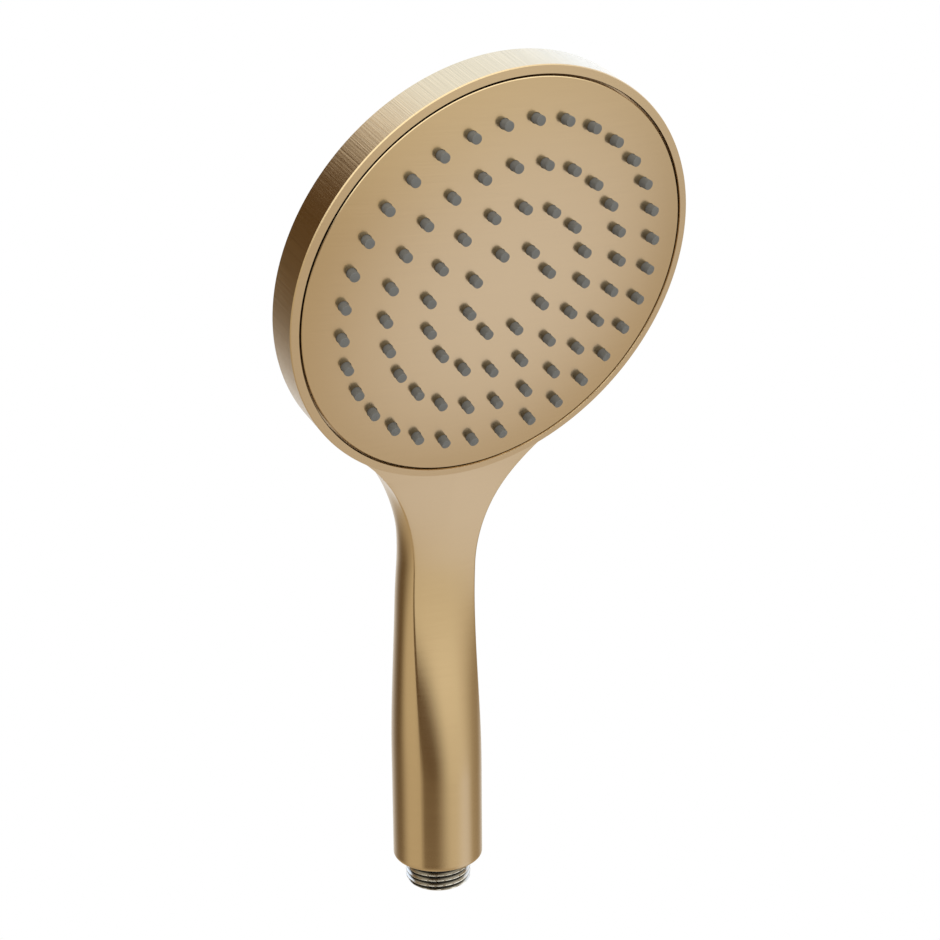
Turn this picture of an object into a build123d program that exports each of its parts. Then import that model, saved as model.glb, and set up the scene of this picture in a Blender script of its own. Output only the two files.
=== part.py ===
from build123d import *
import os
from math import atan2, cos, radians, sin, sqrt

# Hand shower with a slim round head: one-piece body, spray cartridge, waterway and inlet fittings.
# Frame: millimetres, +Z up along the straight grip, the spray face looks towards -Y and tilts down.
# The origin lies on the grip's axis, in the plane of its lower end, where the hose thread starts.

# Head
head_diameter = 130.0
head_band = 11.4  # depth of the straight side
head_crown = 5.0  # rise of the back above the rear edge of the side
head_wall = 2.65
back_wall = 2.4
back_edge_radius = 1.2
rim_chamfer = 0.4
face_tilt = 19.3

# Grip and neck
grip_diameter = 28.8
grip_edge_radius = 1.0
waist_diameter = 24.5
taper_start = 36.0
taper_end = 104.0
bend_start = 86.3
bend_radius = 145.0
scoop_start = 30.0
scoop_end = 88.0
scoop_half_width = 11.15  # axis plane to the crease beside the scooped front
scoop_front = 5.9  # neck line to the crease at the waist
neck_depth = 7.2  # rim plane to the neck line
neck_step = 1.9  # rim plane to the crease beside the rim
neck_bulge = 0.5  # crown of the scooped front across the neck
neck_swell = 0.15  # side of the neck past the crease beside the rim
neck_back = 8.8  # neck line to the back beside the rim
neck_fullness = 0.97  # how straight the sides run to the rounded back beside the rim
flare_radius = 57.0
neck_stations = 15  # spans of the neck's loft
tongue_end = 14.0  # head axis to the tip of the ridge on the back
tongue_half_width = 10.0
tongue_back = 8.2  # neck line to the back at the tip

# Spray cartridge
dome_crown = 5.05  # rise of the plate's middle above its edge
plate_gap = 0.5
plate_thickness = 1.8
plate_chamfer = 0.3
skirt_wall = 1.8
ledge_depth = 4.2  # rim plane to the ledge that carries the skirt
ledge_width = 2.3
bead_hold = 0.3
bead_half_height = 0.6
bead_depth = 2.6
bead_clearance = 0.15
sheet_clearance = 0.1
nozzle_rings = 4
nozzles_in_first_ring = 8
first_ring_radius = 13.2
ring_pitch = 12.5
nozzle_diameter = 2.95
nozzle_rise = 2.6
nozzle_clearance = 0.15
nozzle_sides = 10
hole_sides = 8
mat_thickness = 1.2
mat_rim_thickness = 2.0
mat_margin = 3.4  # outer nozzle ring to the edge of the mat
mat_rim_width = 2.2
flange_width = 7.2
flange_thickness = 2.0
cover_wall = 1.6
cover_depth = 10.0  # rim plane to the rear of the cover
cover_slope = 4.6
screw_count = 6
screw_diameter = 2.2
screw_head_diameter = 4.2
screw_head_height = 1.4
screw_clearance = 0.2
boss_diameter = 4.4
boss_floor = 1.0  # plate thickness kept above a screw hole
screw_hold = 0.02

# Waterway
tube_diameter = 9.0
tube_bore = 6.6
tube_depth = 9.4  # rim plane to the tube's axis in the head
tube_bend_radius = 100.0
tube_room = 0.4
spigot_clearance = 0.1
spigot_bore = 4.4
spigot_length = 11.0
spout_boss_diameter = 8.4
spout_boss_length = 16.0
tube_stop = 1.0  # edge of the mat to the end of the tube
seal_width = 1.6
seal_groove = 0.7
seal_ease = 0.02

# Inlet
thread_diameter = 20.955  # G 1/2 pipe thread
thread_length = 9.1
thread_chamfer = 0.9
socket_diameter = 23.0
socket_depth = 40.0
socket_taper = 22.0
insert_length = 16.0
insert_clearance = 0.05
inlet_bore = 14.4
regulator_height = 6.0
regulator_seat = 2.0  # end of the grip to the shoulder above the regulator
seat_width = 1.0
inlet_taper = 8.0
regulator_wall = 1.5
regulator_floor = 1.4
regulator_post = 4.2
regulator_slots = 6
regulator_slot_width = 1.4
slot_margin = 0.6
regulator_ring_section = 2.0
filter_thickness = 1.2
filter_rim = 1.2
filter_mesh = 1.3
filter_pitch = 1.8
insert_fit = 0.1

# Values worked out from the sizes above
head_radius = head_diameter / 2
cavity_radius = head_radius - head_wall
crown_radius = head_radius - back_edge_radius
plate_radius = cavity_radius - plate_gap
grip_radius = grip_diameter / 2
waist_radius = waist_diameter / 2
tilt = radians(face_tilt)
face_out = Vector(0, -cos(tilt), -sin(tilt))
face_up = Vector(0, -sin(tilt), cos(tilt))
neck_end = Vector(0, -bend_radius * (1 - cos(tilt)), bend_start + bend_radius * sin(tilt))
neck_length = bend_start + bend_radius * tilt
face_center = neck_end + face_out * neck_depth + face_up * head_radius
face_axis = Axis(face_center, face_out)
face_plane = Plane(origin=face_center, x_dir=(1, 0, 0), z_dir=face_out)
profile_plane = Plane(origin=face_center, x_dir=(1, 0, 0), z_dir=-face_up)
ring_radii = [first_ring_radius + ring_pitch * ring for ring in range(nozzle_rings)]
mat_radius = ring_radii[-1] + mat_margin
mat_below = plate_thickness + sheet_clearance
flange_radius = mat_radius + flange_width - mat_rim_width
screw_circle = (mat_radius + flange_radius) / 2
tube_radius = tube_diameter / 2
passage_radius = tube_radius + tube_room
spigot_radius = tube_bore / 2 - spigot_clearance
tube_end = mat_radius + tube_stop
ledge_radius = cavity_radius - ledge_width
chamber_radius = mat_radius - mat_rim_width
socket_radius = socket_diameter / 2
insert_radius = socket_radius - insert_clearance
thread_radius = thread_diameter / 2


def dome_height(radius, below):
    """Height above the rim plane of a dome that lies below the plate's outer face."""
    return dome_crown * (1 - (radius / plate_radius) ** 2) - below


flange_level = dome_height(mat_radius, mat_below) - mat_rim_thickness
screw_tip = dome_height(screw_circle, 0) - boss_floor
slot_length = inlet_bore / 2 - insert_fit - regulator_wall - regulator_post / 2 - slot_margin


def ease(value, start, end):
    """Smooth step from 0 at start to 1 at end."""
    share = min(max((value - start) / (end - start), 0), 1)
    return share * share * (3 - 2 * share)


def mix(low, high, share):
    """Value between low and high."""
    return low + (high - low) * share


def dome_point(radius, below):
    """Point on that dome in the head's profile plane."""
    return (radius, dome_height(radius, below))


def dome_arc(start, end, below):
    """Parabola of that dome between two distances from the head's axis."""
    corner = ((start + end) / 2, dome_crown * (1 - start * end / plate_radius**2) - below)
    return Bezier(dome_point(start, below), corner, dome_point(end, below))


def back_point(radius, wall):
    """Point on the crowned back of the head, or inside it by a wall."""
    rise = head_crown * (1 - (radius / crown_radius) ** 2)
    return (radius, wall - head_band - rise)


def face_point(along, depth):
    """Point in the symmetry plane: along the face towards the grip, and behind the rim plane."""
    return face_center - face_up * along - face_out * depth


def neck_plane(length):
    """Cross-section plane at a length along the neck line, with its local -Y to the front."""
    turn = min(max(length - bend_start, 0) / bend_radius, tilt)
    straight = max(length - neck_length, 0)
    height = min(length, bend_start) + bend_radius * sin(turn)
    origin = Vector(0, -bend_radius * (1 - cos(turn)), height) + face_up * straight
    return Plane(origin=origin, x_dir=(1, 0, 0), z_dir=(0, -sin(turn), cos(turn)))


flare_start = sqrt((head_radius + flare_radius) ** 2 - (scoop_half_width + flare_radius) ** 2)
flare_end = flare_start * head_radius / (head_radius + flare_radius)
crease_low = sqrt(grip_radius**2 - scoop_half_width**2)
round_fullness = 4 / 3 * (sqrt(2) - 1)  # a cubic curve with this fullness is a quarter circle


def crease_width(along):
    """Half width of the scooped front at a distance from the head's axis, with arcs that
    run out into the round head."""
    if along > flare_start:
        return scoop_half_width
    return scoop_half_width + flare_radius - sqrt(flare_radius**2 - (flare_start - along) ** 2)


def crease_point(along, side):
    """Point of the flare's outline in the face plane, on the side +1 or -1."""
    return (side * crease_width(along), -along)


def neck_section(length):
    """Crease half width and height, front, side and back of the section at a length of the neck
    line, with the fullness of its rounded back."""
    radius = mix(grip_radius, waist_radius, ease(length, taper_start, taper_end))
    to_rim = ease(length, taper_end, neck_length)
    crease = crease_width(neck_length + head_radius - length)
    side = crease + mix(radius - scoop_half_width, neck_swell, to_rim)
    height = mix(crease_low, scoop_front, ease(length, scoop_start, scoop_end))
    height = mix(height, neck_depth - neck_step, ease(length, scoop_end, neck_length))
    bulge = mix(grip_radius - crease_low, neck_bulge, ease(length, scoop_start, taper_end))
    back = mix(radius, neck_back, ease(length, bend_start, neck_length))
    fullness = mix(round_fullness, neck_fullness, to_rim**2)
    return crease, height, height + bulge, side, back, fullness


def section_sketch(length, crease, height, front, side, back, fullness):
    """Section of the neck at a length: a crowned front between two creases, sides that curve
    from the creases to the widest points, and a rounded back."""
    side_turn = atan2(side - crease, height)
    side_radius = height / sin(2 * side_turn)
    side_middle = (side - side_radius * (1 - cos(side_turn)), -side_radius * sin(side_turn))
    with BuildSketch(neck_plane(length)) as section:
        with BuildLine():
            ThreePointArc((-crease, -height), (0, -front), (crease, -height))
            for turn in (1, -1):
                ThreePointArc((turn * crease, -height), (turn * side_middle[0], side_middle[1]),
                              (turn * side, 0))
                Bezier((turn * side, 0), (turn * side, fullness * back),
                       (turn * round_fullness * side, back), (0, back))
        make_face()
    return section.sketch


def dome_plane(radius, angle):
    """Plane on the plate's outer face, square to the dome, at a radius and an angle in radians."""
    across = face_plane.x_dir * cos(angle) + face_plane.y_dir * sin(angle)
    origin = face_center + across * radius + face_out * dome_height(radius, 0)
    return Plane(origin=origin, z_dir=face_out + across * (2 * dome_crown * radius / plate_radius**2))


# Every second ring has a nozzle in line with the grip, and the others straddle that line
nozzle_planes = []
for ring, ring_radius in enumerate(ring_radii):
    ring_count = nozzles_in_first_ring * (ring + 1)
    for step in range(ring_count):
        share = (step + 0.5 * ((ring + 1) % 2)) / ring_count
        nozzle_planes.append(dome_plane(ring_radius, radians(360 * share - 90)))

# Body: head, neck and grip moulded in one piece
stations = [mix(scoop_start, neck_length, step / neck_stations) for step in range(neck_stations + 1)]
neck_sections = [section_sketch(length, *neck_section(length)) for length in stations]
rim_front = neck_depth - neck_step
tongue_tip = section_sketch(neck_length + head_radius - tongue_end, tongue_half_width, rim_front,
                            rim_front + neck_bulge, tongue_half_width + neck_swell, tongue_back,
                            neck_fullness)
flare_middle = (flare_end + head_radius) / 2
rim_over = 1.0  # how far the cutting profile stands above the rim
passage_corner = face_point(-(face_center.Y + tube_depth * cos(tilt)) / sin(tilt), tube_depth)
passage_end = tube_end - spout_boss_length - tube_room

with BuildPart() as body_shell:
    with BuildSketch(face_plane):
        Circle(head_radius)
    extrude(amount=-neck_step)
    chamfer(body_shell.edges().sort_by(face_axis)[-1], rim_chamfer)
    with BuildSketch(face_plane.offset(-neck_step)):
        with BuildLine():
            ThreePointArc(crease_point(flare_end, 1), (0, head_radius), crease_point(flare_end, -1))
            ThreePointArc(crease_point(flare_end, -1), crease_point(flare_middle, -1),
                          crease_point(head_radius, -1))
            Line(crease_point(head_radius, -1), crease_point(head_radius, 1))
            ThreePointArc(crease_point(head_radius, 1), crease_point(flare_middle, 1),
                          crease_point(flare_end, 1))
        make_face()
    extrude(amount=neck_step - head_band)
    with BuildSketch(profile_plane):
        with BuildLine():
            Polyline(back_point(crown_radius, 0), (0, -head_band), back_point(0, 0))
            ThreePointArc(back_point(0, 0), back_point(crown_radius / 2, 0), back_point(crown_radius, 0))
        make_face()
    revolve(axis=face_axis)
    extrude(neck_sections[0], amount=-scoop_start)
    fillet(body_shell.edges().group_by(Axis.Z)[0], grip_edge_radius)
    loft(sections=neck_sections)
    loft(sections=[neck_sections[-1], tongue_tip])
    with BuildSketch(profile_plane):
        with BuildLine():
            groove_top = bead_half_height + bead_clearance - bead_depth
            groove_end = -bead_half_height - bead_clearance - bead_depth
            Polyline(back_point(0, back_wall), (0, rim_over),
                     (cavity_radius + rim_chamfer + rim_over, rim_over), (cavity_radius, -rim_chamfer),
                     (cavity_radius, groove_top),
                     (cavity_radius + bead_hold + bead_clearance, -bead_depth),
                     (cavity_radius, groove_end), (cavity_radius, -ledge_depth),
                     (ledge_radius, -ledge_depth), back_point(ledge_radius, back_wall))
            ThreePointArc(back_point(ledge_radius, back_wall), back_point(ledge_radius / 2, back_wall),
                          back_point(0, back_wall))
        make_face()
    revolve(axis=face_axis, mode=Mode.SUBTRACT)
    with BuildSketch(Plane.XZ):
        with BuildLine():
            Polyline((0, 0), (socket_radius, 0), (socket_radius, socket_depth),
                     (passage_radius, socket_depth + socket_taper), (0, socket_depth + socket_taper),
                     close=True)
        make_face()
    revolve(axis=Axis.Z, mode=Mode.SUBTRACT)
    with BuildLine():
        FilletPolyline((0, 0, socket_depth), passage_corner, face_point(passage_end, tube_depth),
                       radius=tube_bend_radius)
    with BuildSketch(Plane.XY.offset(socket_depth)):
        Circle(passage_radius)
    sweep(mode=Mode.SUBTRACT)
body_shell.part.label = "body_shell"

# Spray plate: a domed face with a skirt that snaps into the head, and screw bosses inside
with BuildPart() as spray_plate:
    with BuildSketch(profile_plane):
        with BuildLine():
            edge_radius = plate_radius - plate_chamfer
            skirt_radius = plate_radius - skirt_wall
            dome_arc(0, edge_radius, 0)
            Polyline(dome_point(edge_radius, 0), (plate_radius, -plate_chamfer),
                     (plate_radius, bead_half_height - bead_depth),
                     (cavity_radius + bead_hold, -bead_depth),
                     (plate_radius, -bead_half_height - bead_depth), (plate_radius, -ledge_depth),
                     (skirt_radius, -ledge_depth), dome_point(skirt_radius, plate_thickness))
            dome_arc(skirt_radius, 0, plate_thickness)
            Line(dome_point(0, plate_thickness), dome_point(0, 0))
        make_face()
    revolve(axis=face_axis)
    with BuildSketch(face_plane.offset(flange_level)):
        with PolarLocations(screw_circle, screw_count):
            Circle(boss_diameter / 2)
    extrude(until=Until.NEXT)
    with BuildSketch(face_plane.offset(flange_level)):
        with PolarLocations(screw_circle, screw_count):
            Circle(screw_diameter / 2 + screw_hold)
    extrude(amount=screw_tip - flange_level, mode=Mode.SUBTRACT)
    with BuildSketch(*nozzle_planes):
        RegularPolygon(nozzle_diameter / 2 + nozzle_clearance, hole_sides, major_radius=False)
    extrude(amount=2 * plate_thickness, both=True, mode=Mode.SUBTRACT)
spray_plate.part.label = "spray_plate"

# Nozzle mat: one silicone moulding, with a rim that seals the chamber
with BuildPart() as nozzle_mat:
    with BuildSketch(profile_plane):
        with BuildLine():
            dome_arc(0, mat_radius, mat_below)
            Polyline(dome_point(mat_radius, mat_below), (mat_radius, flange_level),
                     (chamber_radius, flange_level), dome_point(chamber_radius, mat_below + mat_thickness))
            dome_arc(chamber_radius, 0, mat_below + mat_thickness)
            Line(dome_point(0, mat_below + mat_thickness), dome_point(0, mat_below))
        make_face()
    revolve(axis=face_axis)
    with BuildSketch(*[plane.offset(nozzle_rise) for plane in nozzle_planes]):
        RegularPolygon(nozzle_diameter / 2, nozzle_sides)
    extrude(amount=-nozzle_rise - mat_below - mat_thickness / 2)
nozzle_mat.part.label = "nozzle_mat"

# Chamber cover: a dish behind the mat, with a spout that takes the waterway tube
spout_plane = Plane(origin=face_point(tube_end, tube_depth), x_dir=(1, 0, 0), z_dir=-face_up)
spout_well = tube_end - spout_boss_length + cover_wall + spigot_bore / 2
with BuildPart() as chamber_cover:
    with BuildSketch(profile_plane):
        with BuildLine():
            floor_radius = chamber_radius - cover_slope
            Polyline((0, cover_wall - cover_depth), (floor_radius, cover_wall - cover_depth),
                     (chamber_radius, flange_level), (flange_radius, flange_level),
                     (flange_radius, flange_level - flange_thickness),
                     (chamber_radius + cover_wall, flange_level - flange_thickness),
                     (floor_radius + cover_wall, -cover_depth), (0, -cover_depth), close=True)
        make_face()
    revolve(axis=face_axis)
    with BuildSketch(spout_plane):
        Circle(spout_boss_diameter / 2)
    extrude(amount=-spout_boss_length)
    with BuildSketch(spout_plane):
        Circle(spigot_radius)
    extrude(amount=spigot_length)
    with BuildSketch(spout_plane.offset(spigot_length)):
        Circle(spigot_bore / 2)
    extrude(amount=spout_well - tube_end - spigot_length, mode=Mode.SUBTRACT)
    with BuildSketch(Plane(origin=face_point(spout_well, tube_depth), x_dir=(1, 0, 0), z_dir=face_out)):
        Circle(spigot_bore / 2)
    extrude(amount=tube_depth, mode=Mode.SUBTRACT)
    with BuildSketch(spout_plane.offset((spigot_length - seal_width) / 2)):
        Circle(spigot_radius)
        Circle(spigot_radius - seal_groove, mode=Mode.SUBTRACT)
    extrude(amount=seal_width, mode=Mode.SUBTRACT)
    with BuildSketch(face_plane.offset(flange_level)):
        with PolarLocations(screw_circle, screw_count):
            Circle(screw_diameter / 2 + screw_clearance)
    extrude(amount=-flange_thickness, mode=Mode.SUBTRACT)
chamber_cover.part.label = "chamber_cover"

# Cover screws: six alike, from behind the flange into the plate's bosses
with BuildPart() as cover_screws:
    with BuildSketch(face_plane.offset(flange_level - flange_thickness)):
        with PolarLocations(screw_circle, screw_count):
            Circle(screw_head_diameter / 2)
    extrude(amount=-screw_head_height)
    with BuildSketch(face_plane.offset(flange_level - flange_thickness)):
        with PolarLocations(screw_circle, screw_count):
            Circle(screw_diameter / 2)
    extrude(amount=screw_tip - flange_level + flange_thickness)
cover_screws.part.label = "cover_screws"

# Waterway tube: from the inlet's spigot to the cover's spout, along the bend of the neck
with BuildPart() as waterway_tube:
    with BuildLine():
        FilletPolyline((0, 0, insert_length), passage_corner, face_point(tube_end, tube_depth),
                       radius=tube_bend_radius)
    with BuildSketch(Plane.XY.offset(insert_length)):
        Circle(tube_radius)
        Circle(tube_bore / 2, mode=Mode.SUBTRACT)
    sweep()
waterway_tube.part.label = "waterway_tube"


def spigot_seal(plane):
    """Sealing ring in the groove of a spigot that starts at this plane."""
    with BuildPart() as seal:
        with BuildSketch(plane.offset((spigot_length - seal_width) / 2 + seal_ease)):
            Circle(tube_bore / 2 - seal_ease)
            Circle(spigot_radius - seal_groove + seal_ease, mode=Mode.SUBTRACT)
        extrude(amount=seal_width - 2 * seal_ease)
    return seal


spout_seal = spigot_seal(spout_plane)
spout_seal.part.label = "spout_seal"
inlet_seal = spigot_seal(Plane.XY.offset(insert_length))
inlet_seal.part.label = "inlet_seal"

# Inlet nipple: hose thread below the grip, insert in the grip's socket, spigot in the tube
with BuildPart() as inlet_nipple:
    with BuildSketch(Plane.XZ):
        with BuildLine():
            groove_low = insert_length + (spigot_length - seal_width) / 2
            Polyline((inlet_bore / 2, -thread_length), (thread_radius - thread_chamfer, -thread_length),
                     (thread_radius, thread_chamfer - thread_length), (thread_radius, 0),
                     (insert_radius, 0), (insert_radius, insert_length), (spigot_radius, insert_length),
                     (spigot_radius, groove_low), (spigot_radius - seal_groove, groove_low),
                     (spigot_radius - seal_groove, groove_low + seal_width),
                     (spigot_radius, groove_low + seal_width),
                     (spigot_radius, insert_length + spigot_length),
                     (spigot_bore / 2, insert_length + spigot_length),
                     (spigot_bore / 2, regulator_seat + inlet_taper),
                     (inlet_bore / 2 - seat_width, regulator_seat), (inlet_bore / 2, regulator_seat),
                     close=True)
        make_face()
    revolve(axis=Axis.Z)
inlet_nipple.part.label = "inlet_nipple"

# Flow regulator: a slotted cup with a post, and the elastic ring that it holds
cup_radius = inlet_bore / 2 - insert_fit
cup_low = regulator_seat - regulator_height
with BuildPart() as regulator_cup:
    with BuildSketch(Plane.XY.offset(cup_low)):
        Circle(cup_radius)
    extrude(amount=regulator_height)
    with BuildSketch(Plane.XY.offset(cup_low)):
        Circle(cup_radius - regulator_wall)
        Circle(regulator_post / 2, mode=Mode.SUBTRACT)
    extrude(amount=regulator_height - regulator_floor, mode=Mode.SUBTRACT)
    with BuildSketch(Plane.XY.offset(regulator_seat)):
        with PolarLocations((cup_radius - regulator_wall + regulator_post / 2) / 2, regulator_slots):
            Rectangle(slot_length, regulator_slot_width)
    extrude(amount=-regulator_floor, mode=Mode.SUBTRACT)
regulator_cup.part.label = "regulator_cup"

with BuildPart() as regulator_ring:
    with BuildSketch(Plane.XY.offset(regulator_seat - regulator_floor)):
        Circle(regulator_post / 2 + insert_fit + regulator_ring_section)
        Circle(regulator_post / 2 + insert_fit, mode=Mode.SUBTRACT)
    extrude(amount=-regulator_ring_section)
regulator_ring.part.label = "regulator_ring"

# Inlet filter: a moulded disc with a square mesh inside its rim
mesh_reach = cup_radius - filter_rim - filter_mesh * sqrt(0.5)
mesh_count = 2 * int(mesh_reach / filter_pitch) + 1
with BuildPart() as inlet_filter:
    with BuildSketch(Plane.XY.offset(cup_low)):
        Circle(cup_radius)
        with GridLocations(filter_pitch, filter_pitch, mesh_count, mesh_count) as grid:
            spots = [spot for spot in grid.local_locations if spot.position.length < mesh_reach]
        with Locations(*spots):
            Rectangle(filter_mesh, filter_mesh, mode=Mode.SUBTRACT)
    extrude(amount=-filter_thickness)
inlet_filter.part.label = "inlet_filter"

os.makedirs("parts", exist_ok=True)
for piece in (body_shell, spray_plate, nozzle_mat, chamber_cover, cover_screws, waterway_tube, spout_seal,
              inlet_seal, inlet_nipple, regulator_cup, regulator_ring, inlet_filter):
    export_step(piece.part, f"parts/{piece.part.label}.step")
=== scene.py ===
"""Looks of a slim round hand shower in brushed brass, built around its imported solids.

The body, the spray plate, the nozzle mat and the hose nipple are drawn finely over their solids. The
pieces inside keep their solids and get materials of their own.
"""

from math import atan2, cos, pi, radians, sin, sqrt

import bmesh
import bpy
from bpy.props import FloatProperty, FloatVectorProperty, IntProperty, PointerProperty
from mathutils import Matrix, Vector
from mathutils.geometry import delaunay_2d_cdt


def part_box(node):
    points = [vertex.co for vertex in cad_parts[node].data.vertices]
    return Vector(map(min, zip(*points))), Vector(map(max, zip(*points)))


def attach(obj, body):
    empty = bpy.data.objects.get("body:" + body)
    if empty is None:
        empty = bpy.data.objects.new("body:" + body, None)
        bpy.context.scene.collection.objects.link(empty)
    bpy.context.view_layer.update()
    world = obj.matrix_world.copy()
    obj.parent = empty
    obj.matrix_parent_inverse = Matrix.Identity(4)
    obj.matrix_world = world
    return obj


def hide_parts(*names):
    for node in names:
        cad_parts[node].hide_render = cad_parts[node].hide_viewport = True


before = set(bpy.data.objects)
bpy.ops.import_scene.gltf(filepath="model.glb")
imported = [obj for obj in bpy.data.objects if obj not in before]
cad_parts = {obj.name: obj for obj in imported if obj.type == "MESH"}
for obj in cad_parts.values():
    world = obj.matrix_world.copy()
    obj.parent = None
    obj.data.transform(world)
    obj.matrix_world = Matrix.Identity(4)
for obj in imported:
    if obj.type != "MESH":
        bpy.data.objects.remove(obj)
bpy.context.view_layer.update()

bl_info = {
    "name": "Hand Shower",
    "version": (1, 0, 0),
    "blender": (4, 5, 0),
    "location": "View3D > Sidebar > Hand Shower",
    "description": "Builds the looks of a round hand shower in brushed brass",
    "category": "Add Mesh",
}

HEAD_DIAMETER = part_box("body_shell")[1].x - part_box("body_shell")[0].x
THREAD_LENGTH = -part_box("inlet_nipple")[0].z
ROUND_FULLNESS = 4 / 3 * (sqrt(2) - 1)  # a cubic curve with this fullness is a quarter circle

# Camera: its right, its view, its place in metres and its lens in millimetres
CAMERA_RIGHT = Vector((0.83983, -0.5428, -0.00691))
CAMERA_VIEW = Vector((0.5187, 0.80617, -0.28467))
CAMERA_PLACE = Vector((-0.29155, -0.47407, 0.29453))
CAMERA_LENS = 72.67

# Spans around the head, across its crowned back, along the flare, along the neck and round its lower edge
HEAD_AROUND = 288
CROWN_STEPS = 16
FLARE_STEPS = 40
NECK_STEPS = 190
EDGE_STEPS = 6
# Spans of half a neck section: front, rounded crease, side, and back with its upright wall and its shelf
FRONT_FINE, FRONT_STEPS = 28, 12
CREASE_STEPS = 8
SIDE_FINE, SIDE_STEPS = 40, 9
BACK_STEPS, WALL_END, SHELF_END = 22, 4, 7
RIDGE_HALF = BACK_STEPS - SHELF_END
LIP_STEPS = 14
# Spans around a hole, a nozzle, the mat and the nipple, and of the thread around and along
HOLE_SIDES = 28
NOZZLE_SIDES = 24
MAT_AROUND, MAT_STEPS = 96, 12
NIPPLE_AROUND = 96
THREAD_AROUND, THREAD_LEVELS = 144, 120

# Neck beside the rim, in metres: where its back sinks, and where its ridge spreads and its crease sharpens
SINK_LENGTH = 0.025
FADE_LENGTH = 0.015
BACK_SHARE = 0.87  # half width of the sunken back over the half width of the neck
SHARP_CREASE = 0.00001
RIDGE_SINK, RIDGE_SINK_STEPS = 0.00004, 10  # the ridge's edge dips below the crown
LIP_OVERLAP = 0.0003
HIDDEN_WALL = 0.004  # drawn below the ledge
HIDDEN_BORE = 0.002  # drawn inside the grip
CREST_FLAT = 0.10  # flat share of a thread's crest and of its root
RELIEF_RUN = 0.0004

# Places of nodes in a tree
NODES_IN_ROW = 8
NODE_WIDTH, NODE_HEIGHT = 220, 320


def length(name, text, default):
    """A length in metres that a user may change."""
    return FloatProperty(name=name, description=text, default=default, min=0, precision=5, unit="LENGTH")


def factor(name, text, default):
    """A share that a user may change."""
    return FloatProperty(name=name, description=text, default=default, min=0, max=1, subtype="FACTOR")


def colour(name, text, default):
    """A colour that a user may change."""
    return FloatVectorProperty(
        name=name, description=text, default=default, size=3, min=0, max=1, subtype="COLOR"
    )


def light(name, text, default):
    """Colour and strength of a light or card; 1 is white."""
    return FloatVectorProperty(name=name, description=text, default=default, size=3, min=0, subtype="COLOR")


class HandShowerBody(bpy.types.PropertyGroup):
    """Sizes of the head, the neck and the grip."""

    head_diameter: length("Head diameter", "Across the round head", HEAD_DIAMETER)
    head_band: length("Head band", "Depth of the head's straight side", 0.0114)
    head_crown: length("Head crown", "Rise of the head's back above its rear edge", 0.005)
    head_wall: length("Head wall", "Wall around the spray plate", 0.00265)
    back_edge: length("Back edge", "Flat ring between the side and the crowned back", 0.0012)
    rim_slope: length("Rim slope", "Fall of the rim from its inner to its outer edge", 0.00028)
    rim_round: length("Rim rounding", "Broken edges of the rim", 0.0004)
    ledge_depth: length("Ledge depth", "Rim to the ledge that carries the plate", 0.0042)
    ledge_width: length("Ledge width", "Width of the ledge that carries the plate", 0.0023)
    face_tilt: FloatProperty(
        name="Face tilt", description="Lean of the spray face", default=radians(19.3), subtype="ANGLE"
    )
    grip_diameter: length("Grip diameter", "Across the round grip", 0.0288)
    grip_edge: length("Grip edge", "Rounding of the grip's lower end", 0.001)
    socket_diameter: length("Socket diameter", "Hole in the grip's lower end", 0.023)
    waist_diameter: length("Waist diameter", "Across the neck at its narrowest", 0.0245)
    taper_start: length("Taper start", "Height where the grip starts to narrow", 0.036)
    taper_end: length("Taper end", "Height of the waist", 0.104)
    bend_start: length("Bend start", "Height where the neck starts to bend", 0.0863)
    bend_radius: length("Bend radius", "Radius of the neck's bend", 0.145)
    scoop_start: length("Scoop start", "Height where the flattened front starts", 0.030)
    scoop_end: length("Scoop end", "Height where the front is flat", 0.088)
    scoop_half_width: length("Scoop half width", "Middle to the crease beside the flat front", 0.01115)
    crease_round: length("Crease rounding", "Reach of the rounded crease to each side", 0.0005)
    scoop_front: length("Scoop front", "Neck line to the crease at the waist", 0.0059)
    neck_depth: length("Neck depth", "Rim to the neck line", 0.0072)
    neck_step: length("Neck step", "Rim to the crease beside the rim", 0.0019)
    neck_bulge: length("Neck bulge", "Crown of the flat front across the neck", 0.0005)
    neck_swell: length("Neck swell", "Side of the neck past the crease at the rim", 0.00002)
    neck_back: length("Neck back", "Neck line to the back beside the rim", 0.0088)
    neck_fullness: factor("Neck fullness", "How straight the sides run beside the rim", 0.97)
    flare_radius: length("Flare radius", "Arcs that lead the neck into the head", 0.057)
    ridge_half_width: length("Ridge half width", "Half width of the ridge on the back, at the rim", 0.018)
    ridge_tip: length("Ridge tip", "Head's middle to the tip of the ridge", 0.014)
    tip_half_width: length("Tip half width", "Half width of the ridge at its tip", 0.010)
    tip_back: length("Tip back", "Neck line to the back of the ridge at its tip", 0.0082)


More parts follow.
